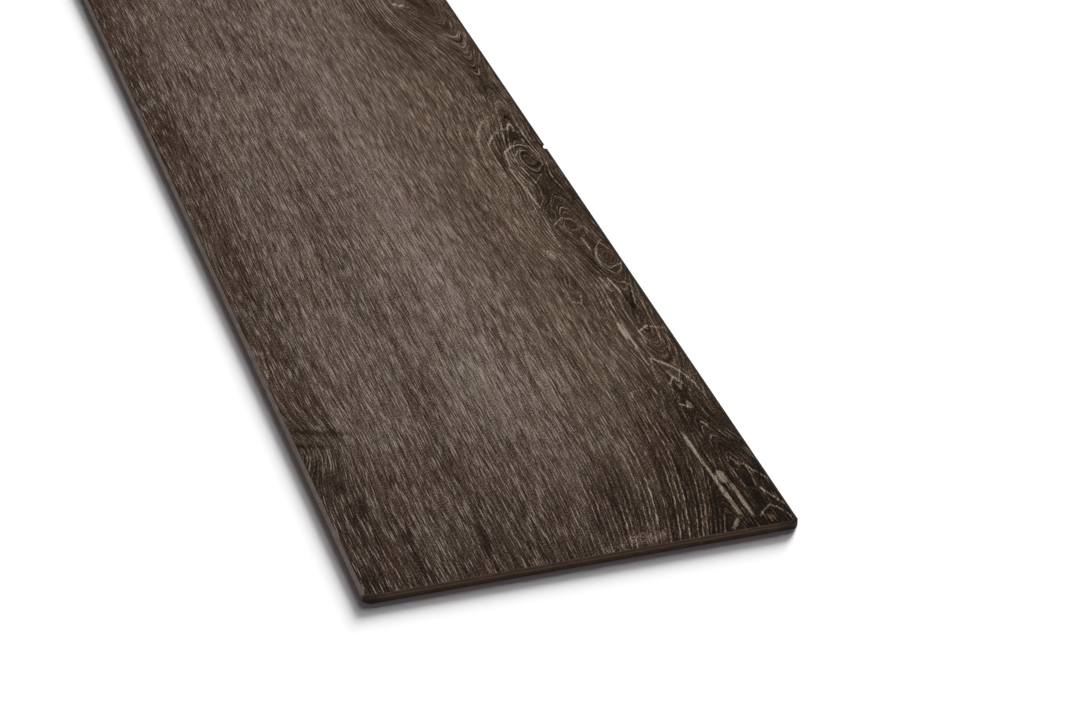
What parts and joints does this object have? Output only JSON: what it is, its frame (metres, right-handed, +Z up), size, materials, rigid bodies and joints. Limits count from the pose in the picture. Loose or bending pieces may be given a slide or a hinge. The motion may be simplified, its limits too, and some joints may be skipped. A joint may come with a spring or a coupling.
{
  "type": "vinyl floor plank",
  "caption": "Long thin vinyl floor plank with a dark wood-grain face, bevelled top edges and square butt sides, laid flat side by side to cover a floor.",
  "frame": {"origin": "middle of the underside, on the floor", "axes": "+Z up out of the printed face, +Y along the length away from the end that the picture shows, +X across the width"},
  "size_m": [0.1778, 1.2192, 0.003],
  "materials": {
    "vinyl": "embossed dark oak print under a matt clear coat, brown sheet edges"
  },
  "bodies": {
    "root": {"plank": "vinyl"}
  },
  "joints": []
}
